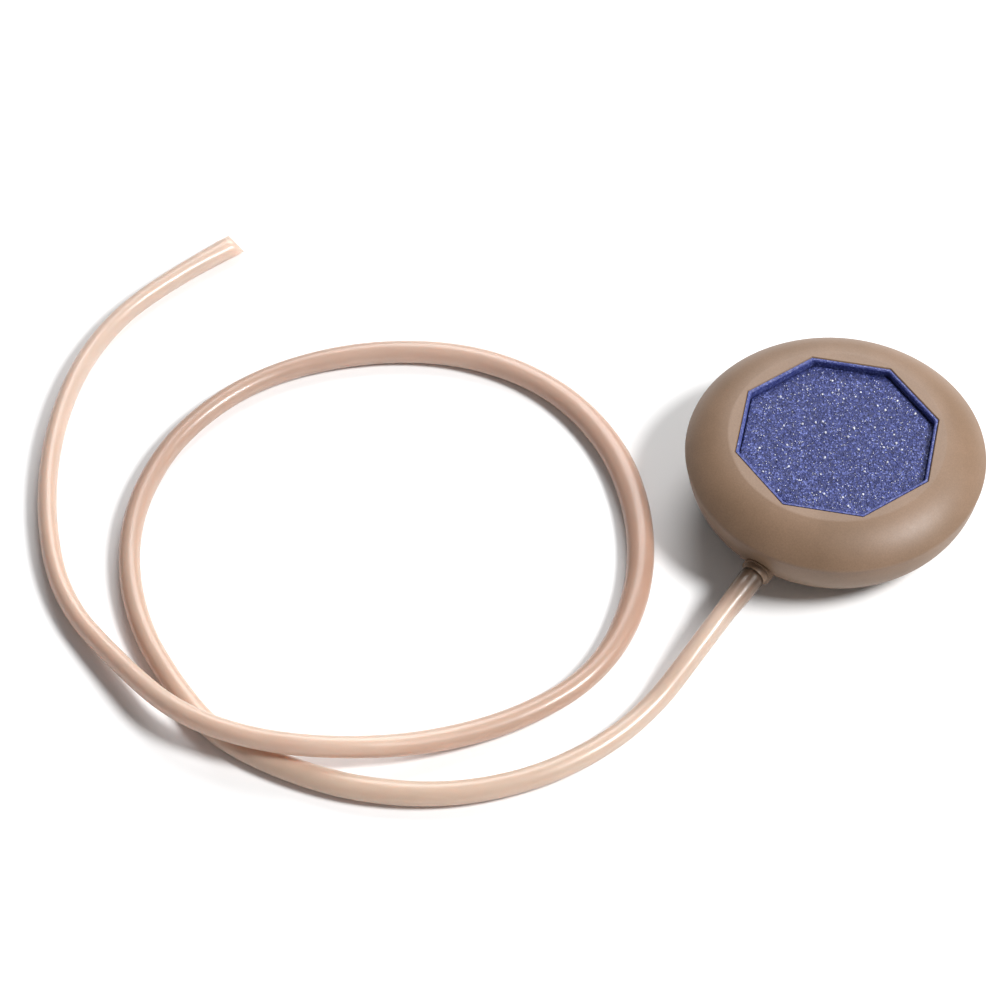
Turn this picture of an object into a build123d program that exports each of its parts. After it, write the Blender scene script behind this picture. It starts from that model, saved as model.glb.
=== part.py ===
from build123d import *
import math
import os

# Weighted air diffuser disc for an aquarium, with its airline tube.
# Millimetres. Origin: centre of the disc, on the surface that it stands on. +Z is up.
# The air inlet points along -Y. The corners of the octagonal window lie on X and Y.

# ---- driving dimensions: shells -------------------------------------------------
DISC_RADIUS = 42.0          # widest radius, at the parting line of the two shells
LOWER_DEPTH = 19.4          # parting line down to the flat underside
TOP_RISE = 7.8              # parting line up to the flat facet around the window
FLAT_RADIUS = 25.6          # flat part of the underside
WINDOW_RADIUS = 29.1        # octagonal window, centre to corner
FACET_MARGIN = 1.1          # flat facet on the top, from the window's corner to its crease
FOOT_PROUD = 0.8            # foot pads stand below the underside
WALL = 2.0                  # shell wall
RIM_IN = 0.35               # rounding of the top shell's rim, inward
RIM_UP = 0.95               # rounding of the top shell's rim, upward
DOME_SLOPE = 9.67           # degrees that the dome falls at, where it leaves the facet
INNER_CROWN = 0.9           # the same, on the dome's inside
CREASE_FILLET = 2.5         # softened crease between facet and dome
EDGE_BREAK = 0.25           # small edge roundings
SHADOW_GAP = 0.5            # groove under the top shell's rim
SHADOW_DEPTH = 0.45

# ---- driving dimensions: the joint between the shells -----------------------------
LAND_WIDTH = 3.8            # flange inside the base shell's mouth
LAND_HEIGHT = 3.0
LIP_WALL = 1.2              # locating lip under the top shell
LIP_DEPTH = 1.6
LIP_CLEARANCE = 0.15
SEAL_WIDTH = 1.3
SEAL_DEPTH = 1.0
SEAL_INSET = 1.0            # from the land's inner edge to the seal groove

# ---- driving dimensions: screws ---------------------------------------------------
SCREW_COUNT = 4
SCREW_FIRST_ANGLE = 45.0
SCREW_RADIUS = 1.5
SCREW_LENGTH = 11.0
HEAD_RADIUS = 2.8
HEAD_HEIGHT = 2.0
HEAD_CROWN = 0.84           # the head's face is this much smaller than its side, all round
HEAD_ROUND = 0.8            # height of the head's sloping edge
HEAD_CLEARANCE = 0.3
SHANK_CLEARANCE = 0.2
BOSS_WALL = 1.7             # wall of the top shell's screw bosses
BOSS_GAP = 0.9              # from the well wall's corner to a top shell boss
COLLAR_THICKNESS = 3.8      # plastic that a screw head clamps
HEAD_SEAT_HEIGHT = 9.6      # above the underside of the base shell
PILOT_SPARE = 1.0           # pilot hole beyond the screw's tip
SLOT_LENGTH = 3.2
SLOT_WIDTH = 0.7
SLOT_DEPTH = 1.1

# ---- driving dimensions: stone cartridge --------------------------------------------
TRAY_CLEARANCE = 0.2        # tray to window, corner to corner
TRAY_BELOW_FACET = 0.15
TRAY_HEIGHT = 11.4
TRAY_WALL = 0.8
TRAY_FLOOR = 1.6
TRAY_CORNER = 1.4           # rounding of the tray's inner corners
RIM_CHAMFER = 0.3           # bevel inside the tray's rim
LEDGE_WIDTH = 1.5
LEDGE_HEIGHT = 1.2          # also the depth of the air chamber's floor below the ledge
BED_THICKNESS = 0.6         # sealing frame under the stone
STONE_THICKNESS = 6.15
STONE_CLEARANCE = 0.1
POST_RADIUS = 1.2           # posts that carry the middle of the stone
POST_COUNT = 8              # on each circle of posts
POST_INSET = 4.1            # ledge's side to the outer circle of posts
POST_PITCH = 7.0            # between the two circles of posts
SKIRT_WALL = 1.2            # octagonal well wall under the window
SKIRT_SHORT = 1.0           # the well wall ends this far above the tray's underside
SPIGOT_RADIUS = 3.5
SPIGOT_LENGTH = 4.1
SPIGOT_BORE = 1.6
RUNNING_CLEARANCE = 0.05    # spigot in its socket
RING_SECTION = 0.8          # radial depth of the spigot's O-ring
RING_WIDTH = 1.5
RING_FROM_TRAY = 1.3        # underside of the tray to the O-ring

# ---- driving dimensions: base shell inside ------------------------------------------
SEAT_INSET = 1.5            # tray's side to the ring that carries it
SEAT_WALL = 1.6
SEAT_GASKET = 1.0
SOCKET_WALL = 2.0
SOCKET_SHORT = 1.0          # the socket ends this far below the tray
SOCKET_FLOOR = 2.0          # bore goes this far below the air port's axis
LEAD_IN = 0.4

# ---- driving dimensions: ballast ------------------------------------------------------
PLATE_COUNT = 3
PLATE_THICKNESS = 3.0
PLATE_CLEARANCE = 0.4       # to the seat ring and the floor's curve
PLATE_BORE_CLEARANCE = 1.35 # around the socket
STAKE_COUNT = 3
STAKE_RADIUS = 1.5
STAKE_INSET = 6.6           # from the plates' edge to the stakes' circle
STAKE_CLEARANCE = 0.2
STAKE_HEAD_RADIUS = 2.6
STAKE_HEAD_HEIGHT = 1.0

# ---- driving dimensions: feet -----------------------------------------------------------
FOOT_COUNT = 4
FOOT_RADIUS = 4.5
FOOT_INSET = 0.5            # from the pads to the edge of the underside's flat
FOOT_RECESS = 1.0
FOOT_FIRST_ANGLE = 45.0

# ---- driving dimensions: air inlet and hoses ----------------------------------------------
INLET_BELOW_TRAY = 5.95     # tray's underside down to the inlet's axis
INLET_FACE = 0.6            # face of the boss, inward from the widest radius
INLET_BOSS_LENGTH = 7.4
FITTING_RADIUS = 3.0
AIR_BORE = 1.25
COLLAR_LENGTH = 1.8
COLLAR_STEP = 0.5           # the collar's tip stands this far outside the tube
COLLAR_TAPER = 0.4          # from the collar's tip to its root
BOSS_STEP = 0.5             # the shell's boss stands this far outside the collar
BARB_RIDGE = 0.35
BARB_PITCH = 3.0
BARB_SLOPE = 0.4            # share of the pitch that a ridge's slope takes
OUTER_BARB_LENGTH = 9.4
OUTER_BARB_RIDGES = 2
INNER_BARB_LENGTH = 7.0
INNER_BARB_RIDGES = 1
FITTING_RING_SECTION = 0.9
FITTING_RING_WIDTH = 1.6
INNER_HOSE_WALL = 1.1
INNER_HOSE_GAP = 0.6        # hose end to the wall behind its barb
HOSE_HOLE_CLEARANCE = 0.4

TUBE_RADIUS = 3.0           # airline tube, 6 mm outside and 4 mm inside
TUBE_BORE = 2.0
TUBE_LIFT = 0.05            # the tube lies this far above the surface
TUBE_LEAD_IN = 0.15         # small bevel inside the tube's cut end
BEND_SHARE = 0.45           # share of the shorter run that a bend may take

# ---- heights and radii that follow ---------------------------------------------------------
UNDERSIDE = FOOT_PROUD
PARTING = UNDERSIDE + LOWER_DEPTH
FACET = PARTING + TOP_RISE
FLOOR = UNDERSIDE + WALL
BASE_RADIUS = DISC_RADIUS - RIM_IN
FACET_RADIUS = WINDOW_RADIUS + FACET_MARGIN
LAND_RADIUS = BASE_RADIUS - LAND_WIDTH

TRAY_TOP = FACET - TRAY_BELOW_FACET
TRAY_UNDERSIDE = TRAY_TOP - TRAY_HEIGHT
TRAY_RADIUS = WINDOW_RADIUS - TRAY_CLEARANCE
CORNER = 1.0 / math.cos(math.pi / 8)    # a wall's thickness, measured at an octagon's corner
TRAY_INSIDE = TRAY_RADIUS - TRAY_WALL * CORNER
LEDGE_INSIDE = TRAY_INSIDE - LEDGE_WIDTH * CORNER
CHAMBER_FLOOR = TRAY_UNDERSIDE + TRAY_FLOOR
LEDGE_TOP = CHAMBER_FLOOR + LEDGE_HEIGHT
BED_TOP = LEDGE_TOP + BED_THICKNESS
STONE_RADIUS = TRAY_INSIDE - STONE_CLEARANCE
INLET_AXIS_HEIGHT = TRAY_UNDERSIDE - INLET_BELOW_TRAY
SKIRT_RADIUS = WINDOW_RADIUS + SKIRT_WALL * CORNER
SKIRT_BOTTOM = TRAY_UNDERSIDE + SKIRT_SHORT

SEAT_RADIUS = TRAY_RADIUS / CORNER - SEAT_INSET - SEAT_WALL
SEAT_TOP = TRAY_UNDERSIDE - SEAT_GASKET
SOCKET_TOP = TRAY_UNDERSIDE - SOCKET_SHORT
SOCKET_BORE = SPIGOT_RADIUS + RUNNING_CLEARANCE
SOCKET_RADIUS = SOCKET_BORE + SOCKET_WALL
PLATE_RADIUS = min(SEAT_RADIUS, FLAT_RADIUS) - PLATE_CLEARANCE
PLATE_HOLE_RADIUS = SOCKET_RADIUS + PLATE_BORE_CLEARANCE
STAKE_CIRCLE = PLATE_RADIUS - STAKE_INSET
FOOT_CIRCLE = FLAT_RADIUS - FOOT_INSET - FOOT_RADIUS

TOP_BOSS_RADIUS = SCREW_RADIUS + BOSS_WALL
SCREW_CIRCLE = SKIRT_RADIUS + BOSS_GAP + TOP_BOSS_RADIUS
HEAD_SEAT = UNDERSIDE + HEAD_SEAT_HEIGHT
HEAD_HOLE = HEAD_RADIUS + HEAD_CLEARANCE
BASE_BOSS_RADIUS = HEAD_HOLE + WALL / 2
BASE_BOSS_TOP = HEAD_SEAT + COLLAR_THICKNESS

INLET_OUTER = DISC_RADIUS - INLET_FACE
INLET_INNER = INLET_OUTER - INLET_BOSS_LENGTH
TUBE_START = INLET_OUTER + COLLAR_LENGTH
BARB_STEM_RADIUS = TUBE_BORE
COLLAR_TIP_RADIUS = TUBE_RADIUS + COLLAR_STEP
COLLAR_ROOT_RADIUS = COLLAR_TIP_RADIUS + COLLAR_TAPER
INLET_BOSS_RADIUS = COLLAR_ROOT_RADIUS + BOSS_STEP
HOSE_RADIUS = BARB_STEM_RADIUS + INNER_HOSE_WALL
LAID = TUBE_RADIUS + TUBE_LIFT

# The airline tube's route, from the inlet to its open end. It drops to the surface, makes
# one loop, passes over itself in a long low hump and ends in a wide outer bend.
TUBE_ROUTE = (
    (0, -TUBE_START, INLET_AXIS_HEIGHT), (0, -57, INLET_AXIS_HEIGHT), (-0.6, -73, 7.4),
    (-1.8, -90, LAID), (-5.5, -108.5, LAID), (-15, -128, LAID), (-31, -145.5, LAID),
    (-52, -157.5, LAID), (-73, -163.5, LAID), (-94, -165, LAID), (-113, -158.5, LAID),
    (-132, -147.5, LAID), (-150, -131, LAID), (-161.5, -110.5, LAID), (-166, -85, LAID),
    (-159, -57, LAID), (-141.5, -32.5, LAID), (-116, -16, LAID), (-88, -11.5, LAID),
    (-61, -19, LAID), (-39.5, -36.5, LAID), (-26, -61, LAID), (-20.5, -88.5, LAID),
    (-29, -114, LAID), (-46, -136, LAID), (-66, -154, 15), (-99, -168, 15),
    (-130, -163.5, LAID), (-158, -150, LAID), (-181, -128.5, LAID), (-197.5, -102, LAID),
    (-206.5, -74, LAID), (-205, -45, LAID), (-194.8, -17.6, LAID),
)


# ---- helpers ---------------------------------------------------------------------------
def turned(*edges):
    """Solid of revolution about Z from a closed outline in (radius, height)."""
    return revolve(Plane.XZ * Face(Wire(edges)), Axis.Z)


def ring(outer, inner, bottom, top):
    """Upright ring, or a disc where inner is 0."""
    section = Circle(outer)
    if inner > 0:
        section -= Circle(inner)
    return Pos(0, 0, bottom) * extrude(section, amount=top - bottom)


def octagon(radius, bottom, top, corner=0.0):
    """Upright octagonal prism with its corners on X and Y, rounded if corner is given."""
    section = RegularPolygon(radius, 8)
    if corner > 0:
        section = fillet(section.vertices(), corner)
    return Pos(0, 0, bottom) * extrude(section, amount=top - bottom)


def along_inlet(outer, inner, start, end):
    """Tube along the inlet's axis, from start to end, both measured outward from the centre."""
    section = Circle(outer)
    if inner > 0:
        section -= Circle(inner)
    plane = Plane(origin=(0, -start, INLET_AXIS_HEIGHT), z_dir=(0, -1, 0))
    return extrude(plane * section, amount=end - start)


def barb_profile(root, tip, ridges):
    """Barbed stem outline from root to tip as (radius, place) points; root may exceed tip."""
    way = 1 if tip > root else -1
    points = [(BARB_STEM_RADIUS, root)]
    for k in range(ridges, 0, -1):
        crest = tip - way * (k - 0.5) * BARB_PITCH
        points.append((BARB_STEM_RADIUS, crest))
        points.append((BARB_STEM_RADIUS + BARB_RIDGE, crest))
        points.append((BARB_STEM_RADIUS, crest + way * BARB_PITCH * BARB_SLOPE))
    points.append((BARB_STEM_RADIUS - EDGE_BREAK, tip))
    return points


def barbed_stem(root, tip, ridges):
    """Solid barbed stem along the inlet's axis, with no bore."""
    outline = [(0, root)] + barb_profile(root, tip, ridges) + [(0, tip)]
    outward = [(radius, -place) for radius, place in outline]
    face = Face(Wire(Polyline(*outward, close=True).edges()))
    return Pos(0, 0, INLET_AXIS_HEIGHT) * revolve(face, Axis.Y)


def around(count, radius, first_angle):
    """Places evenly spaced on a circle about the disc's axis."""
    step = 2 * math.pi / count
    for k in range(count):
        angle = math.radians(first_angle) + k * step
        yield radius * math.cos(angle), radius * math.sin(angle)


# ---- shells -----------------------------------------------------------------------------
def quarter_ellipse(across, down):
    """Curve of the base shell's side, from the underside's flat out to the parting line."""
    return EllipticalCenterArc((FLAT_RADIUS, PARTING), across, down, 270, arc_size=90)


def base_outer():
    """Outer body of the base shell, solid, without its parting groove."""
    return turned(
        Line((0, UNDERSIDE), (FLAT_RADIUS, UNDERSIDE)),
        quarter_ellipse(BASE_RADIUS - FLAT_RADIUS, LOWER_DEPTH),
        Line((BASE_RADIUS, PARTING), (0, PARTING)),
        Line((0, PARTING), (0, UNDERSIDE)),
    )


def base_cavity():
    """Hollow of the base shell."""
    return turned(
        Line((0, FLOOR), (FLAT_RADIUS, FLOOR)),
        quarter_ellipse(BASE_RADIUS - WALL - FLAT_RADIUS, LOWER_DEPTH - WALL),
        Line((BASE_RADIUS - WALL, PARTING), (0, PARTING)),
        Line((0, PARTING), (0, FLOOR)),
    )


def inner_hose_channel():
    """Room for the inner hose and the inner barb, where the bowl's side would reach them."""
    return along_inlet(HOSE_RADIUS, 0, SOCKET_RADIUS, INLET_INNER)


def base_shell():
    """Lower shell: bowl, parting land, tray seat, air socket, ballast stakes and bosses."""
    outer = base_outer()
    bowl = outer - base_cavity() - inner_hose_channel()
    root = UNDERSIDE + WALL / 2
    land = ring(BASE_RADIUS, LAND_RADIUS, PARTING - LAND_HEIGHT, PARTING)
    seat = ring(SEAT_RADIUS + SEAT_WALL, SEAT_RADIUS, root, SEAT_TOP)
    hose_hole = HOSE_RADIUS + HOSE_HOLE_CLEARANCE
    seat -= along_inlet(hose_hole, 0, SEAT_RADIUS - WALL, SEAT_RADIUS + SEAT_WALL + WALL)
    socket = ring(SOCKET_RADIUS, 0, root, SOCKET_TOP)
    port = barbed_stem(0, SOCKET_RADIUS + INNER_BARB_LENGTH, INNER_BARB_RIDGES)
    inside = land + seat + socket + port
    stack_top = FLOOR + PLATE_COUNT * PLATE_THICKNESS
    for x, y in around(STAKE_COUNT, STAKE_CIRCLE, 90):
        inside += Pos(x, y, 0) * ring(STAKE_RADIUS, 0, root, stack_top)
        inside += Pos(x, y, 0) * ring(STAKE_HEAD_RADIUS, 0, stack_top, stack_top + STAKE_HEAD_HEIGHT)
    for x, y in around(SCREW_COUNT, SCREW_CIRCLE, SCREW_FIRST_ANGLE):
        inside += Pos(x, y, 0) * ring(BASE_BOSS_RADIUS, 0, UNDERSIDE, BASE_BOSS_TOP)
    shell = bowl + (inside & outer)
    shell += along_inlet(INLET_BOSS_RADIUS, 0, INLET_INNER, INLET_OUTER)

    shell -= ring(DISC_RADIUS, BASE_RADIUS - SHADOW_DEPTH, PARTING - SHADOW_GAP, PARTING)
    groove = LAND_RADIUS + SEAL_INSET
    shell -= ring(groove + SEAL_WIDTH, groove, PARTING - SEAL_DEPTH, PARTING)
    shell -= ring(SOCKET_BORE, 0, INLET_AXIS_HEIGHT - SOCKET_FLOOR, SOCKET_TOP)
    shell -= turned(*Polyline(
        (0, SOCKET_TOP), (SOCKET_BORE + LEAD_IN, SOCKET_TOP), (0, SOCKET_TOP - SOCKET_BORE - LEAD_IN),
        close=True,
    ).edges())
    shell -= along_inlet(AIR_BORE, 0, 0, SOCKET_RADIUS + INNER_BARB_LENGTH)
    shell -= along_inlet(FITTING_RADIUS, 0, INLET_INNER, INLET_OUTER)
    for x, y in around(SCREW_COUNT, SCREW_CIRCLE, SCREW_FIRST_ANGLE):
        shell -= Pos(x, y, 0) * ring(HEAD_HOLE, 0, 0, HEAD_SEAT)
        shell -= Pos(x, y, 0) * ring(SCREW_RADIUS + SHANK_CLEARANCE, 0, HEAD_SEAT, BASE_BOSS_TOP)
    for x, y in around(FOOT_COUNT, FOOT_CIRCLE, FOOT_FIRST_ANGLE):
        shell -= Pos(x, y, 0) * ring(FOOT_RADIUS, 0, UNDERSIDE, UNDERSIDE + FOOT_RECESS)
    return shell


def top_outer():
    """Outer body of the top shell, solid: rim rounding, dome and flat facet."""
    rim_end = (DISC_RADIUS - RIM_IN, PARTING + RIM_UP)
    slope = math.radians(DOME_SLOPE)
    body = turned(
        Line((0, PARTING), (DISC_RADIUS, PARTING)),
        TangentArc((DISC_RADIUS, PARTING), rim_end, tangent=(0, 1)),
        TangentArc((FACET_RADIUS, FACET), rim_end, tangent=(math.cos(slope), -math.sin(slope))),
        Line((FACET_RADIUS, FACET), (0, FACET)),
        Line((0, FACET), (0, PARTING)),
    )
    crease = body.edges().filter_by(GeomType.CIRCLE).sort_by(Axis.Z)[-1]
    return fillet(crease, CREASE_FILLET)


def top_cavity():
    """Hollow under the dome."""
    start = LAND_RADIUS - LIP_CLEARANCE - LIP_WALL
    end = FACET_RADIUS - WALL / 2
    return turned(
        Line((0, PARTING), (start, PARTING)),
        SagittaArc((start, PARTING), (end, FACET - WALL), -INNER_CROWN),
        Line((end, FACET - WALL), (0, FACET - WALL)),
        Line((0, FACET - WALL), (0, PARTING)),
    )


def top_shell():
    """Upper shell: dome with its octagonal window, well wall, locating lip and screw bosses."""
    outer = top_outer()
    shell = outer - top_cavity()
    lip = LAND_RADIUS - LIP_CLEARANCE
    shell += ring(lip, lip - LIP_WALL, PARTING - LIP_DEPTH, PARTING + LIP_WALL)
    shell += octagon(SKIRT_RADIUS, SKIRT_BOTTOM, FACET - WALL / 2)
    roof = outer + ring(lip, 0, BASE_BOSS_TOP, PARTING)
    for x, y in around(SCREW_COUNT, SCREW_CIRCLE, SCREW_FIRST_ANGLE):
        shell += Pos(x, y, 0) * ring(TOP_BOSS_RADIUS, 0, BASE_BOSS_TOP, FACET) & roof
    shell -= octagon(WINDOW_RADIUS, SKIRT_BOTTOM, FACET)
    window = [e for e in shell.edges().filter_by(GeomType.LINE) if abs(e.center().Z - FACET) < EDGE_BREAK / 2]
    shell = chamfer(window, EDGE_BREAK)
    for x, y in around(SCREW_COUNT, SCREW_CIRCLE, SCREW_FIRST_ANGLE):
        shell -= Pos(x, y, 0) * ring(SCREW_RADIUS, 0, BASE_BOSS_TOP, HEAD_SEAT + SCREW_LENGTH + PILOT_SPARE)
    return shell


def shell_seal():
    """Rubber ring that fills the groove in the base shell's land."""
    groove = LAND_RADIUS + SEAL_INSET
    return ring(groove + SEAL_WIDTH, groove, PARTING - SEAL_DEPTH, PARTING)


# ---- stone cartridge ----------------------------------------------------------------------
def stone_tray():
    """Octagonal tray under the stone, with its ledge, posts and air spigot."""
    tray = octagon(TRAY_RADIUS, TRAY_UNDERSIDE, TRAY_TOP)
    tray -= octagon(TRAY_INSIDE, LEDGE_TOP, TRAY_TOP, TRAY_CORNER)
    rim = tray.faces().sort_by(Axis.Z)[-1].inner_wires()[0]
    tray = chamfer(rim.edges(), RIM_CHAMFER)
    tray -= octagon(LEDGE_INSIDE, CHAMBER_FLOOR, LEDGE_TOP)
    outer_posts = LEDGE_INSIDE / CORNER - POST_INSET
    for radius in (outer_posts, outer_posts - POST_PITCH):
        for x, y in around(POST_COUNT, radius, 0):
            tray += Pos(x, y, 0) * ring(POST_RADIUS, 0, CHAMBER_FLOOR, BED_TOP)
    spigot_end = TRAY_UNDERSIDE - SPIGOT_LENGTH
    tray += ring(SPIGOT_RADIUS, 0, spigot_end, TRAY_UNDERSIDE)
    ring_top = TRAY_UNDERSIDE - RING_FROM_TRAY
    tray -= ring(SPIGOT_RADIUS, SPIGOT_RADIUS - RING_SECTION, ring_top - RING_WIDTH, ring_top)
    tray -= ring(SPIGOT_BORE, 0, spigot_end, CHAMBER_FLOOR)
    return tray


def stone_bed():
    """Soft sealing frame between the tray's ledge and the stone."""
    frame = octagon(TRAY_INSIDE, LEDGE_TOP, BED_TOP, TRAY_CORNER)
    return frame - octagon(LEDGE_INSIDE, LEDGE_TOP, BED_TOP)


def stone_plate():
    """Porous mineral plate that the air leaves through."""
    plate = octagon(STONE_RADIUS, BED_TOP, BED_TOP + STONE_THICKNESS, TRAY_CORNER)
    return chamfer(plate.faces().sort_by(Axis.Z)[-1].edges(), EDGE_BREAK)


def spigot_ring():
    """O-ring in the spigot's groove, just clear of the socket."""
    ring_top = TRAY_UNDERSIDE - RING_FROM_TRAY
    outer = SPIGOT_RADIUS + RUNNING_CLEARANCE / 2
    return ring(outer, SPIGOT_RADIUS - RING_SECTION, ring_top - RING_WIDTH, ring_top)


def seat_gasket():
    """Flat rubber ring that the tray rests on."""
    return ring(SEAT_RADIUS + SEAT_WALL, SEAT_RADIUS, SEAT_TOP, TRAY_UNDERSIDE)


# ---- ballast, fasteners and feet --------------------------------------------------------------
def ballast_plate(index):
    """One stamped steel plate of the stack, slotted for the air hose."""
    bottom = FLOOR + index * PLATE_THICKNESS
    plate = ring(PLATE_RADIUS, PLATE_HOLE_RADIUS, bottom, bottom + PLATE_THICKNESS)
    slot = HOSE_RADIUS + HOSE_HOLE_CLEARANCE
    plate -= Pos(0, -PLATE_RADIUS / 2, bottom) * Box(
        2 * slot, PLATE_RADIUS, PLATE_THICKNESS, align=(Align.CENTER, Align.CENTER, Align.MIN)
    )
    for x, y in around(STAKE_COUNT, STAKE_CIRCLE, 90):
        plate -= Pos(x, y, 0) * ring(STAKE_RADIUS + STAKE_CLEARANCE, 0, bottom, bottom + PLATE_THICKNESS)
    return plate


def shell_screw(x, y):
    """Stainless pan-head screw with a cross recess, driven up from below."""
    head_bottom = HEAD_SEAT - HEAD_HEIGHT
    tip = HEAD_SEAT + SCREW_LENGTH
    screw = turned(*Polyline(
        (0, head_bottom), (HEAD_RADIUS - HEAD_CROWN, head_bottom), (HEAD_RADIUS, head_bottom + HEAD_ROUND),
        (HEAD_RADIUS, HEAD_SEAT), (SCREW_RADIUS, HEAD_SEAT), (SCREW_RADIUS, tip - SCREW_RADIUS),
        (0, tip), close=True,
    ).edges())
    for length, width in ((SLOT_LENGTH, SLOT_WIDTH), (SLOT_WIDTH, SLOT_LENGTH)):
        screw -= Pos(0, 0, head_bottom) * Box(
            length, width, SLOT_DEPTH, align=(Align.CENTER, Align.CENTER, Align.MIN)
        )
    return Pos(x, y, 0) * screw


def foot_pad(x, y):
    """Rubber pad pressed into its recess."""
    pad = ring(FOOT_RADIUS, 0, 0, FOOT_PROUD + FOOT_RECESS)
    pad = fillet(pad.edges().group_by(Axis.Z)[0], EDGE_BREAK)
    return Pos(x, y, 0) * pad


# ---- air line ----------------------------------------------------------------------------------
def inlet_fitting():
    """Barbed inlet: outer barb and collar, body in the shell's boss, inner barb."""
    body = along_inlet(FITTING_RADIUS, 0, INLET_INNER, INLET_OUTER)
    plane = Plane(origin=(0, -INLET_OUTER, INLET_AXIS_HEIGHT), z_dir=(0, -1, 0))
    collar = loft([
        plane * Circle(COLLAR_ROOT_RADIUS),
        plane.offset(COLLAR_LENGTH) * Circle(COLLAR_TIP_RADIUS),
    ])
    fitting = body + collar
    fitting += barbed_stem(TUBE_START, TUBE_START + OUTER_BARB_LENGTH, OUTER_BARB_RIDGES)
    fitting += barbed_stem(INLET_INNER, INLET_INNER - INNER_BARB_LENGTH, INNER_BARB_RIDGES)
    fitting -= inlet_ring()
    fitting -= along_inlet(AIR_BORE, 0, INLET_INNER - INNER_BARB_LENGTH, TUBE_START + OUTER_BARB_LENGTH)
    return fitting


def inlet_ring():
    """O-ring around the fitting's body, inside the boss."""
    middle = (INLET_INNER + INLET_OUTER) / 2
    half = FITTING_RING_WIDTH / 2
    groove = FITTING_RADIUS - FITTING_RING_SECTION
    return along_inlet(FITTING_RADIUS, groove, middle - half, middle + half)


def inner_hose():
    """Short silicone hose from the inlet's inner barb to the socket's barb."""
    return along_inlet(
        HOSE_RADIUS, BARB_STEM_RADIUS, SOCKET_RADIUS + INNER_HOSE_GAP, INLET_INNER - INNER_HOSE_GAP
    )


def corner_radii(points):
    """Largest sensible bend radius at each inner point of the route."""
    radii = []
    for before, here, after in zip(points, points[1:], points[2:]):
        arriving = Vector(*here) - Vector(*before)
        leaving = Vector(*after) - Vector(*here)
        half_turn = math.radians(arriving.get_angle(leaving)) / 2
        radii.append(BEND_SHARE * min(arriving.length, leaving.length) / math.tan(half_turn))
    return radii


def airline_tube():
    """Clear flexible tube, open at its far end."""
    radii = corner_radii(TUBE_ROUTE)
    path = FilletPolyline(*TUBE_ROUTE, radius=radii)
    start = Plane(origin=TUBE_ROUTE[0], z_dir=Vector(*TUBE_ROUTE[1]) - Vector(*TUBE_ROUTE[0]))
    section = Circle(TUBE_RADIUS) - Circle(TUBE_BORE)
    tube = sweep(start * section, path=path)
    expected = math.pi * (TUBE_RADIUS ** 2 - TUBE_BORE ** 2) * path.length
    swept = tube.volume
    cut_end = tube.faces().filter_by(GeomType.PLANE).sort_by_distance(TUBE_ROUTE[-1])[0]
    tube = chamfer(cut_end.inner_wires()[0].edges(), TUBE_LEAD_IN)
    print("tube bend radii", [round(r, 1) for r in radii], "smallest", round(min(radii), 1))
    print("tube length", round(path.length, 1), "volume over section times length", swept / expected)
    return tube


# ---- all nodes ---------------------------------------------------------------------------------------
def all_parts():
    """Every sub-part by its node name."""
    parts = {
        "base_shell": base_shell(),
        "top_shell": top_shell(),
        "shell_seal": shell_seal(),
        "stone_plate": stone_plate(),
        "stone_tray": stone_tray(),
        "stone_bed": stone_bed(),
        "spigot_ring": spigot_ring(),
        "seat_gasket": seat_gasket(),
        "inlet_fitting": inlet_fitting(),
        "inlet_ring": inlet_ring(),
        "inner_hose": inner_hose(),
        "airline_tube": airline_tube(),
    }
    for k in range(PLATE_COUNT):
        parts[f"ballast_plate_{k + 1}"] = ballast_plate(k)
    for k, (x, y) in enumerate(around(SCREW_COUNT, SCREW_CIRCLE, SCREW_FIRST_ANGLE)):
        parts[f"shell_screw_{k + 1}"] = shell_screw(x, y)
    for k, (x, y) in enumerate(around(FOOT_COUNT, FOOT_CIRCLE, FOOT_FIRST_ANGLE)):
        parts[f"foot_pad_{k + 1}"] = foot_pad(x, y)
    return parts


os.makedirs("parts", exist_ok=True)
for name, shape in all_parts().items():
    export_step(shape, f"parts/{name}.step")
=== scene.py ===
import math
import random

import bmesh
import bpy
from mathutils import Euler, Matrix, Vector, noise
from mathutils.geometry import delaunay_2d_cdt


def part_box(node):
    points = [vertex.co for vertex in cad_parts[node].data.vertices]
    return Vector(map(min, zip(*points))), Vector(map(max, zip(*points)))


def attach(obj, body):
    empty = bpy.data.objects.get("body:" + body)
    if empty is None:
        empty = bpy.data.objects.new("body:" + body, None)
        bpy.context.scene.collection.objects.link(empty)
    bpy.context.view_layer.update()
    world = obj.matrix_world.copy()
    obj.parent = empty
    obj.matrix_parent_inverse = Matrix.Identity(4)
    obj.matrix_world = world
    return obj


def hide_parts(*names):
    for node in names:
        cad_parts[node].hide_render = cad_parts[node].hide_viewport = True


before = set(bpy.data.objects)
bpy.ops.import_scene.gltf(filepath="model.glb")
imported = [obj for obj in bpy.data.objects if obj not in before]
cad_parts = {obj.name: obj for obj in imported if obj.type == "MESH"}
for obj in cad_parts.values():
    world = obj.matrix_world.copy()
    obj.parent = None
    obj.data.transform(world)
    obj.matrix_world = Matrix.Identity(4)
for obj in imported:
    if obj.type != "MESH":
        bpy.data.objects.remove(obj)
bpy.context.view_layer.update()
scene = bpy.context.scene
MM = 0.001


# ---- camera --------------------------------------------------------------------
SENSOR_WIDTH = 36       # mm, like the focal length
FOCAL_LENGTH = 149.2
CAMERA_PLACE = (0.3266, -0.6561, 0.9192)
CAMERA_TILT = 38.31     # degrees up from looking straight down
CAMERA_TURN = 33.8      # degrees to the left of looking along Y

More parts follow.
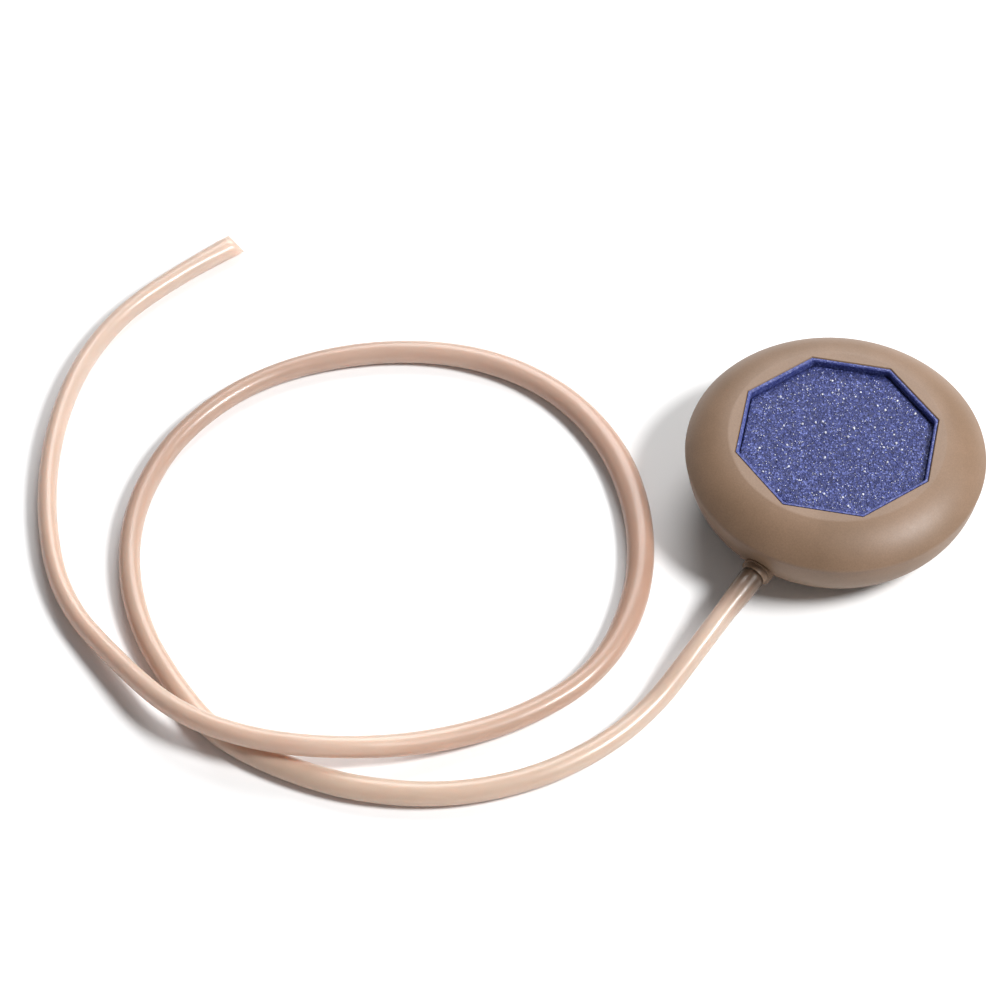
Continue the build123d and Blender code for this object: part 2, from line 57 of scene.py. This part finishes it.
camera_data = bpy.data.cameras.new("camera")
camera_data.sensor_width = SENSOR_WIDTH
camera_data.lens = FOCAL_LENGTH
camera = bpy.data.objects.new("camera", camera_data)
camera.location = CAMERA_PLACE
camera.rotation_euler = (math.radians(CAMERA_TILT), 0, math.radians(CAMERA_TURN))
scene.collection.objects.link(camera)
scene.camera = camera


# ---- helpers -------------------------------------------------------------------
def add_mesh(name, vertices, faces, smooth=True):
    """New mesh object in the scene."""
    mesh = bpy.data.meshes.new(name)
    mesh.from_pydata([tuple(v) for v in vertices], [], faces)
    mesh.update()
    if smooth:
        mesh.shade_smooth()
    piece = bpy.data.objects.new(name, mesh)
    scene.collection.objects.link(piece)
    return piece


def turn_faces_out(piece, flat_last=0):
    """Outward normals on every face, and flat shading on that many of the last ones."""
    edit = bmesh.new()
    edit.from_mesh(piece.data)
    bmesh.ops.recalc_face_normals(edit, faces=edit.faces)
    if flat_last:
        for face in edit.faces[-flat_last:]:
            face.smooth = False
    edit.to_mesh(piece.data)
    edit.free()


def eased(table, at):
    """Value of a table's (place, value) rows at a place, eased from row to row."""
    for (a, low), (b, high) in zip(table, table[1:]):
        if at <= b:
            t = (at - a) / (b - a)
            return low + (high - low) * t * t * (3 - 2 * t)
    return table[-1][1]


def give(node, material):
    """One material on every slot of a CAD node."""
    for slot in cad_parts[node].material_slots:
        slot.material = material


class Nodes:
    """Short way to build a material's node tree. Texture scales are in cells per metre."""

    def __init__(self, name):
        self.material = bpy.data.materials.new(name)
        self.material.use_nodes = True
        self.tree = self.material.node_tree
        self.tree.nodes.clear()
        self.shader = self.add("ShaderNodeBsdfPrincipled")
        output = self.add("ShaderNodeOutputMaterial")
        self.link(self.shader, "BSDF", output, "Surface")
        self.place = self.add("ShaderNodeTexCoord")

    def add(self, kind, **settings):
        node = self.tree.nodes.new(kind)
        for key, value in settings.items():
            setattr(node, key, value)
        return node

    def link(self, source, out, target, into):
        self.tree.links.new(source.outputs[out], target.inputs[into])

    def noise(self, scale, detail=3.0, rough=0.55):
        node = self.add("ShaderNodeTexNoise")
        node.inputs["Scale"].default_value = scale
        node.inputs["Detail"].default_value = detail
        node.inputs["Roughness"].default_value = rough
        self.link(self.place, "Object", node, "Vector")
        return node

    def voronoi(self, scale, feature="F1"):
        node = self.add("ShaderNodeTexVoronoi", feature=feature)
        node.inputs["Scale"].default_value = scale
        self.link(self.place, "Object", node, "Vector")
        return node

    def ramp(self, source, out, stops):
        node = self.add("ShaderNodeValToRGB")
        elements = node.color_ramp.elements
        while len(elements) < len(stops):
            elements.new(0.5)
        for element, (position, colour) in zip(elements, stops):
            element.position = position
            element.color = (*colour, 1.0)
        self.link(source, out, node, "Fac")
        return node

    def tint(self, colour, over):
        """Base colour from two colour ramps, multiplied."""
        node = self.add("ShaderNodeMix", data_type="RGBA", blend_type="MULTIPLY")
        node.inputs["Factor"].default_value = 1.0
        self.tree.links.new(colour.outputs["Color"], node.inputs["A"])
        self.tree.links.new(over.outputs["Color"], node.inputs["B"])
        self.tree.links.new(node.outputs["Result"], self.shader.inputs["Base Color"])

    def span(self, source, out, low, high):
        """A 0..1 value spread over another range."""
        node = self.add("ShaderNodeMapRange")
        node.inputs["To Min"].default_value = low
        node.inputs["To Max"].default_value = high
        self.link(source, out, node, "Value")
        return node

    def bump(self, source, out, strength, depth, after=None):
        node = self.add("ShaderNodeBump")
        node.inputs["Strength"].default_value = strength
        node.inputs["Distance"].default_value = depth
        self.link(source, out, node, "Height")
        if after:
            self.link(after, "Normal", node, "Normal")
        return node

    def finish(self, colour=None, roughness=None, normal=None, **values):
        """Joins what is given to the shader and sets its other values by name."""
        if colour:
            self.link(colour, "Color", self.shader, "Base Color")
        if roughness:
            self.link(roughness, "Result", self.shader, "Roughness")
        if normal:
            self.link(normal, "Normal", self.shader, "Normal")
        for key, value in values.items():
            self.shader.inputs[key.replace("_", " ")].default_value = value
        return self.material


def srgb(red, green, blue):
    """Linear colour from 0..255 display values."""
    def linear(c):
        c /= 255
        return c / 12.92 if c <= 0.04045 else ((c + 0.055) / 1.055) ** 2.4
    return linear(red), linear(green), linear(blue)


# ---- materials -----------------------------------------------------------------
def moulded(name, dark, light, roughness, coat):
    """Satin moulded plastic: slow colour drift, fine speckle, spark-eroded grain."""
    n = Nodes(name)
    drift = n.ramp(n.noise(60, 4), "Fac", [(0.35, dark), (0.65, light)])
    speckle = n.ramp(n.noise(2400, 2), "Fac", [(0.32, (0.86, 0.86, 0.86)), (0.68, (1, 1, 1))])
    n.tint(drift, speckle)
    rough = n.span(n.noise(900, 2), "Fac", roughness - 0.05, roughness + 0.06)
    fine = n.bump(n.noise(5200, 2), "Fac", 0.25, 0.00003)
    waves = n.bump(n.noise(140, 2), "Fac", 0.15, 0.0001, after=fine)
    return n.finish(None, rough, waves, Coat_Weight=coat, Coat_Roughness=0.35)


def rubbery(name, dark, light, roughness):
    """Soft matte rubber or silicone."""
    n = Nodes(name)
    colour = n.ramp(n.noise(300, 4), "Fac", [(0.3, dark), (0.7, light)])
    rough = n.span(n.noise(1800), "Fac", roughness - 0.08, roughness + 0.08)
    return n.finish(colour, rough, n.bump(n.noise(3000), "Fac", 0.4, 0.00004))


def metallic(name, dark, light, roughness, streak):
    """Bare metal with fine lines, which run across the axis that streak scales up."""
    n = Nodes(name)
    stretch = n.add("ShaderNodeMapping")
    stretch.inputs["Scale"].default_value = streak
    n.link(n.place, "Object", stretch, "Vector")
    lines = n.add("ShaderNodeTexNoise")
    lines.inputs["Scale"].default_value = 900
    lines.inputs["Detail"].default_value = 4
    n.link(stretch, "Vector", lines, "Vector")
    colour = n.ramp(lines, "Fac", [(0.3, dark), (0.7, light)])
    rough = n.span(lines, "Fac", roughness - 0.1, roughness + 0.1)
    return n.finish(colour, rough, n.bump(lines, "Fac", 0.3, 0.00002), Metallic=1.0)


GRIT_SCALE = 2300


def mineral(name, tones, depth):
    """Bonded mineral grit: each grain has its own tone and facet, with painted shade darkening the gaps
    between them.
    """
    n = Nodes(name)
    grains = n.voronoi(GRIT_SCALE)
    split = n.add("ShaderNodeSeparateColor")
    n.link(grains, "Color", split, "Color")
    tone = n.ramp(split, "Red", list(zip((0.0, 0.45, 0.8, 1.0), tones)))
    # painted shade: the colour darkens towards each grain's edge, where shade falls in the gaps
    shaded_gaps = n.voronoi(GRIT_SCALE, "DISTANCE_TO_EDGE")
    n.tint(tone, n.ramp(shaded_gaps, "Distance", [(0.0, (0.55, 0.55, 0.6)), (0.12, (1, 1, 1))]))
    rough = n.span(split, "Green", 0.25, 0.85)
    facets = n.bump(grains, "Distance", 0.8, depth)
    return n.finish(None, rough, n.bump(n.noise(5000), "Fac", 0.4, 0.0001, after=facets))


def vinyl(name):
    """Soft clear vinyl: warm tint with painted light and shade along its length, a little cloudy, faint
    ripples.
    """
    n = Nodes(name)
    along = n.add("ShaderNodeAttribute", attribute_name="along")
    # painted shade and light along the tube: the darkest stops at the root paint the shell's shade over
    # the taupe barb inside, and the later stops lighten or darken each run where the light falls on it
    # more or less
    tint = n.ramp(along, "Fac", [
        (0.0, srgb(84, 68, 55)), (0.005, srgb(112, 91, 75)), (0.011, srgb(172, 146, 129)),
        (0.020, srgb(238, 206, 188)), (0.16, srgb(250, 212, 190)), (0.34, srgb(214, 178, 160)),
        (0.45, srgb(228, 192, 174)), (0.57, srgb(198, 160, 140)), (0.70, srgb(250, 212, 192)),
        (0.84, srgb(244, 204, 184)), (1.0, srgb(250, 214, 196)),
    ])
    n.tint(tint, n.ramp(n.noise(70, 3), "Fac", [(0.3, (0.94, 0.93, 0.92)), (0.7, (1, 1, 1))]))
    rough = n.span(n.noise(500), "Fac", 0.26, 0.40)
    return n.finish(
        None, rough, n.bump(n.noise(260, 2), "Fac", 0.2, 0.00006),
        Transmission_Weight=0.38, IOR=1.45, Coat_Weight=0.16, Coat_Roughness=0.05,
        Subsurface_Weight=0.7, Subsurface_Scale=0.005, Subsurface_Radius=(1.0, 0.75, 0.65),
    )


def crystal(name):
    """Bright, glossy grains, painted near white all over: a painted glint on every grain whichever way it
    faces.
    """
    n = Nodes(name)
    tones = [(0.35, srgb(225, 228, 246)), (0.65, srgb(255, 255, 255))]
    colour = n.ramp(n.noise(2500), "Fac", tones)
    rough = n.span(n.noise(4000), "Fac", 0.08, 0.25)
    return n.finish(colour, rough, n.bump(n.noise(6000), "Fac", 0.2, 0.00003), IOR=1.6)


taupe = moulded("shell_taupe", srgb(125, 99, 77), srgb(134, 107, 85), 0.50, coat=0.06)
tray = mineral(
    "tray_blue",
    [srgb(46, 56, 120), srgb(62, 72, 138), srgb(76, 86, 150), srgb(104, 114, 174)], depth=0.00008,
)
stone = mineral(
    "stone_blue",
    [srgb(24, 31, 78), srgb(43, 52, 108), srgb(60, 69, 130), srgb(106, 117, 182)], depth=0.0003,
)
# the crystals are real grains; their near-white paint is a painted highlight on every one
crystal_glint_paint = crystal("stone_crystal")
clear = vinyl("clear_tube")
seal = rubbery("seal_rubber", (0.012, 0.012, 0.012), (0.03, 0.03, 0.03), 0.6)
foot = rubbery("foot_rubber", (0.02, 0.02, 0.022), (0.045, 0.045, 0.048), 0.7)
hose = rubbery("silicone_hose", srgb(205, 203, 196), srgb(222, 220, 214), 0.45)
zinc = metallic("ballast_steel", srgb(150, 152, 158), srgb(190, 192, 198), 0.42, (1, 12, 1))
stainless = metallic("stainless_screw", srgb(185, 185, 188), srgb(215, 215, 218), 0.3, (1, 1, 6))

for node in ("base_shell", "top_shell", "inlet_fitting"):
    give(node, taupe)
give("stone_tray", tray)
for node in ("shell_seal", "seat_gasket", "spigot_ring", "inlet_ring", "stone_bed"):
    give(node, seal)
give("inner_hose", hose)
for k in range(1, 4):
    give(f"ballast_plate_{k}", zinc)
for k in range(1, 5):
    give(f"shell_screw_{k}", stainless)
    give(f"foot_pad_{k}", foot)


# ---- airline tube --------------------------------------------------------------
LAID = 3.05     # height of the tube's middle where it lies on the floor
# the points that control its course, in mm, from the inlet to the free end
ROUTE = [
    (0, -43.2, 10.5), (0, -57, 10.5), (-0.6, -73, 7.4), (-1.8, -90, LAID), (-5.5, -108.5, LAID),
    (-15, -128, LAID), (-31, -145.5, LAID), (-52, -157.5, LAID), (-73, -163, LAID), (-95, -164.5, LAID),
    (-114, -157.5, LAID), (-133.5, -147, LAID), (-150.5, -130.5, LAID), (-161.5, -110.5, LAID),
    (-166, -85, LAID), (-159.6, -56.8, LAID), (-141.5, -32.5, LAID), (-116, -15.5, LAID), (-88, -11, LAID),
    (-61.4, -19.2, LAID), (-39.7, -37.5, LAID), (-25, -61.5, LAID), (-20, -89, LAID), (-29, -114, LAID),
    (-45.5, -136.4, 4.5), (-64, -154.5, 9.6), (-84, -164, 9.4), (-105, -167.7, 9.3), (-127.5, -161.8, 5.5),
    (-157.5, -151.5, LAID), (-181, -128.5, LAID), (-197.5, -102, LAID), (-206.5, -74, LAID),
    (-205, -45, LAID), (-194.8, -17.6, LAID),
]
PATH_STEPS = 24     # straight pieces in each span of the route's spline
WALL = 1.0 * MM
# radius of the outside at distances from the start, in mm: stretched over the barb, then settling
STRETCH = [(0.0, 3.5), (5.5, 3.45), (8.0, 3.3), (11.0, 3.15), (14.0, 3.0)]
# the soft tube flattens a little where it lies: share of its length, and width over nominal
FLATTENED = [
    (0.0, 1.0), (0.06, 1.0), (0.10, 1.08), (0.16, 1.2), (0.25, 1.02), (0.38, 0.98), (0.42, 1.12),
    (0.47, 1.2), (0.53, 1.33), (0.58, 1.26), (0.62, 1.06), (0.66, 1.1), (0.72, 1.0), (0.8, 0.92),
    (0.95, 0.9), (0.98, 0.96), (1.0, 1.12),
]
AROUND = 32         # points round the tube
CUT_SLANT = 0.5     # the free end is cut back at its top, as a share of the radius
CUT_REACH = 8 * MM  # rings this near the end lean with the cut


def spline_points(route):
    """The smooth line that the route's points control, from a NURBS curve with no bevel."""
    data = bpy.data.curves.new("airline_path", "CURVE")
    data.dimensions = "3D"
    data.resolution_u = PATH_STEPS
    spline = data.splines.new("NURBS")
    spline.points.add(len(route) - 1)
    for point, (x, y, z) in zip(spline.points, route):
        point.co = (x * MM, y * MM, z * MM, 1)
    spline.order_u = 3
    spline.use_endpoint_u = True
    guide = bpy.data.objects.new("airline_path", data)
    scene.collection.objects.link(guide)
    bpy.context.view_layer.update()
    mesh = bpy.data.meshes.new_from_object(guide)
    points = [v.co.copy() for v in mesh.vertices]
    bpy.data.meshes.remove(mesh)
    bpy.data.objects.remove(guide)
    bpy.data.curves.remove(data)
    return points


def tube_mesh(name, points):
    """Hollow tube: outer skin, bore and two ring ends, carried without twist."""
    total = sum((b - a).length for a, b in zip(points, points[1:]))
    frames = []
    side = Vector((0, 0, 1))
    distance = 0.0
    for k, here in enumerate(points):
        before = points[max(k - 1, 0)]
        after = points[min(k + 1, len(points) - 1)]
        along = (after - before).normalized()
        side = (side - along * side.dot(along)).normalized()
        if k:
            distance += (here - points[k - 1]).length
        frames.append((here, side.copy(), along.cross(side), distance))
    vertices, faces, shares = [], [], []
    for bore in (False, True):
        for here, up, across, distance in frames:
            outer = eased(STRETCH, distance / MM) * MM
            radius = outer - WALL if bore else outer
            wide = radius * eased(FLATTENED, distance / total)
            near_end = max(0.0, 1 - (total - distance) / CUT_REACH)
            lean = up.cross(across) * (CUT_SLANT * radius * near_end)
            for j in range(AROUND):
                angle = 2 * math.pi * j / AROUND
                rise, aside = math.cos(angle), wide * math.sin(angle)
                vertices.append(here + (up * radius - lean) * rise + across * aside)
                shares.append(distance / total)
    rows = len(frames)
    inside = rows * AROUND
    for r in range(rows - 1):
        for j in range(AROUND):
            a, b = r * AROUND + j, r * AROUND + (j + 1) % AROUND
            faces.append((a, a + AROUND, b + AROUND, b))
            faces.append((inside + a, inside + b, inside + b + AROUND, inside + a + AROUND))
    last = (rows - 1) * AROUND
    for j in range(AROUND):
        k = (j + 1) % AROUND
        faces.append((j, k, inside + k, inside + j))
        faces.append((last + j, inside + last + j, inside + last + k, last + k))
    piece = add_mesh(name, vertices, faces)
    turn_faces_out(piece, flat_last=2 * AROUND)
    along = piece.data.attributes.new("along", "FLOAT", "POINT")
    along.data.foreach_set("value", shares)
    return piece


path = spline_points(ROUTE)
tube = tube_mesh("airline_tube_vinyl", path)
tube.data.materials.append(clear)
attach(tube, "disc")
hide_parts("airline_tube")


# ---- stone ---------------------------------------------------------------------
SIDES = 8
CORNER_TURN = 2 * math.pi / SIDES   # from one corner of the octagon to the next
HALF_TURN = CORNER_TURN / 2         # from a corner to the middle of a side
GRAIN = 0.36 * MM                   # spacing of the grit's points
JITTER = 0.28                       # how far a point strays, in grains
ROW_SPACING = 0.87                  # of the triangular grid, in grains
CORNER_RADIUS = 1.4 * MM
SIDE_GAP = 0.12 * MM                # the rough grit's sides start this far inside the plain plate
TOP_GAP = 0.22 * MM                 # and its top is this far under it, before its bumps
CORNER_GAP = 0.9 * MM               # grid points stay this far from the corners' circle
SIDE_LAYERS = 12
SIDE_RELIEF = 0.05                  # mm
COARSE, FINE, SWELL = 0.9 * MM, 0.5 * MM, 6 * MM    # widths of the top's bumps

CRYSTALS = 620
BIG_CRYSTALS = 40
BIG_SIZES = (0.36, 0.50)            # mm, the most from the middle to a tip
SMALL_SIZES = (0.12, 0.23)
CRYSTAL_MARGIN = 1.2 * MM           # kept free along the plate's sides
CRYSTAL_RISE = 0.35                 # of its size, from the grit to a crystal's middle


def rounded_octagon(radius, corner, step):
    """Outline with corners on X and Y, each rounded, as evenly spaced points."""
    points = []
    inset = corner / math.cos(HALF_TURN)
    for k in range(SIDES):
        angle = k * CORNER_TURN
        cx, cy = (radius - inset) * math.cos(angle), (radius - inset) * math.sin(angle)
        for j in range(5):
            turn = angle - HALF_TURN + j * HALF_TURN / 2
            points.append(Vector((cx + corner * math.cos(turn), cy + corner * math.sin(turn))))
    outline = []
    for a, b in zip(points, points[1:] + points[:1]):
        count = max(1, round((b - a).length / step))
        outline += [a.lerp(b, j / count) for j in range(count)]
    return outline


def side_distance(x, y):
    """How far out a point is, square to the octagon's side that it's nearest to."""
    facing = [HALF_TURN + k * CORNER_TURN for k in range(SIDES)]
    return max(x * math.cos(angle) + y * math.sin(angle) for angle in facing)


def relief(x, y):
    """Height of the grit's surface: packed grains of two sizes on a slow swell."""
    coarse = noise.cell(Vector((x / COARSE, y / COARSE, 1.0)))
    fine = noise.noise(Vector((x / FINE, y / FINE, 8.0)))
    swell = noise.noise(Vector((x / SWELL, y / SWELL, 4.0)))
    return (0.05 * coarse + 0.09 * fine + 0.05 * swell) * MM


def stone_piece():
    """Grit plate with a rough, irregular top and rough sides, its top's height, and how far
    out the grid of its top goes."""
    rng = random.Random(11)
    low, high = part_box("stone_plate")
    radius = high[0]
    outline = rounded_octagon(radius - SIDE_GAP, CORNER_RADIUS, GRAIN)
    count = len(outline)
    points = [p.copy() for p in outline]
    reach = int(radius / GRAIN) + 1
    inner = (radius - SIDE_GAP) * math.cos(HALF_TURN) - 0.6 * GRAIN
    for i in range(-reach, reach + 1):
        for j in range(-reach, reach + 1):
            x = (i + 0.5 * (j % 2) + rng.uniform(-JITTER, JITTER)) * GRAIN
            y = (j * ROW_SPACING + rng.uniform(-JITTER, JITTER)) * GRAIN
            if side_distance(x, y) < inner and math.hypot(x, y) < radius - CORNER_GAP:
                points.append(Vector((x, y)))
    edges = [(k, (k + 1) % count) for k in range(count)]
    found = delaunay_2d_cdt(points, edges, [list(range(count))], 1, 1e-9)
    plane, triangles = found[0], found[2]
    top = high[2] - TOP_GAP
    vertices = [(p.x, p.y, top + relief(p.x, p.y)) for p in plane]
    faces = [tuple(t) for t in triangles]
    index = {(round(p.x, 7), round(p.y, 7)): k for k, p in enumerate(plane)}
    ring = [index[round(p.x, 7), round(p.y, 7)] for p in outline]
    for layer in range(1, SIDE_LAYERS + 1):
        z = top + (low[2] - top) * layer / SIDE_LAYERS
        fresh = []
        for p in outline:
            rough = noise.noise(Vector((p.x / MM, p.y / MM, z / MM))) * SIDE_RELIEF * MM
            out = p.normalized() * rough
            fresh.append(len(vertices))
            vertices.append((p.x + out.x, p.y + out.y, z))
        for k in range(count):
            j = (k + 1) % count
            faces.append((ring[k], fresh[k], fresh[j], ring[j]))
        ring = fresh
    faces.append(tuple(reversed(ring)))
    piece = add_mesh("stone_grit", vertices, faces)
    turn_faces_out(piece)
    return piece, top, inner


def crystals(top, inner):
    """Loose bright crystals bedded in the grit, as one piece."""
    rng = random.Random(23)
    vertices, faces = [], []
    corners = [(1, 0, 0), (-1, 0, 0), (0, 1, 0), (0, -1, 0), (0, 0, 1), (0, 0, -1)]
    sides = [
        (0, 2, 4), (2, 1, 4), (1, 3, 4), (3, 0, 4), (2, 0, 5), (1, 2, 5), (3, 1, 5), (0, 3, 5),
    ]
    for k in range(CRYSTALS):
        size = rng.uniform(*(BIG_SIZES if k < BIG_CRYSTALS else SMALL_SIZES))
        while True:
            x, y = rng.uniform(-1, 1) * inner, rng.uniform(-1, 1) * inner
            if side_distance(x, y) < inner - CRYSTAL_MARGIN:
                break
        turn = [rng.uniform(0, 2 * math.pi) for _ in range(3)]
        from_here = len(vertices)
        z = top + relief(x, y) + CRYSTAL_RISE * size * MM
        for corner in corners:
            v = Vector(corner) * (size * MM * rng.uniform(0.75, 1.0))
            v.rotate(Euler(turn))
            vertices.append((x + v.x, y + v.y, z + v.z))
        faces += [tuple(from_here + c for c in side) for side in sides]
    return add_mesh("stone_crystals", vertices, faces, smooth=False)


grit, grit_top, grit_inner = stone_piece()
grit.data.materials.append(stone)
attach(grit, "cartridge")
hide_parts("stone_plate")
gems = crystals(grit_top, grit_inner)
gems.data.materials.append(crystal_glint_paint)
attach(gems, "cartridge")


# ---- floor and light -----------------------------------------------------------
FLOOR_REACH = 4     # metres each way, far past the view
LIT_POINT = Vector((-0.03, -0.06, 0.0))
LIGHT_DISTANCE = 1.6
WORLD_STRENGTH = 0.18

floor_signs = [(-1, -1), (1, -1), (1, 1), (-1, 1)]
floor_corners = [(x * FLOOR_REACH, y * FLOOR_REACH, 0) for x, y in floor_signs]
floor = add_mesh("floor", floor_corners, [(0, 1, 2, 3)], smooth=False)
paper = Nodes("floor_white")
paper_tones = [(0.3, (0.90, 0.90, 0.90)), (0.7, (0.93, 0.93, 0.93))]
paper_colour = paper.ramp(paper.noise(8, 2), "Fac", paper_tones)
floor.data.materials.append(paper.finish(paper_colour, Roughness=0.9))


def area_light(name, direction, size, power):
    """Round soft light that shines at the middle of the disc and its tube."""
    data = bpy.data.lights.new(name, "AREA")
    data.shape = "DISK"
    data.size = size
    data.energy = power
    light = bpy.data.objects.new(name, data)
    way = Vector(direction).normalized()
    light.location = LIT_POINT + way * LIGHT_DISTANCE
    light.rotation_euler = way.to_track_quat("Z", "Y").to_euler()
    scene.collection.objects.link(light)


area_light("key", direction=(0.607, 0.225, 0.762), size=0.5, power=31)
area_light("back", direction=(-0.30, 0.70, 0.65), size=1.1, power=19)

world = bpy.data.worlds.new("studio")
world.use_nodes = True
background = world.node_tree.nodes["Background"]
background.inputs["Color"].default_value = (1, 1, 1, 1)
background.inputs["Strength"].default_value = WORLD_STRENGTH
scene.world = world
scene.view_settings.view_transform = "Standard"
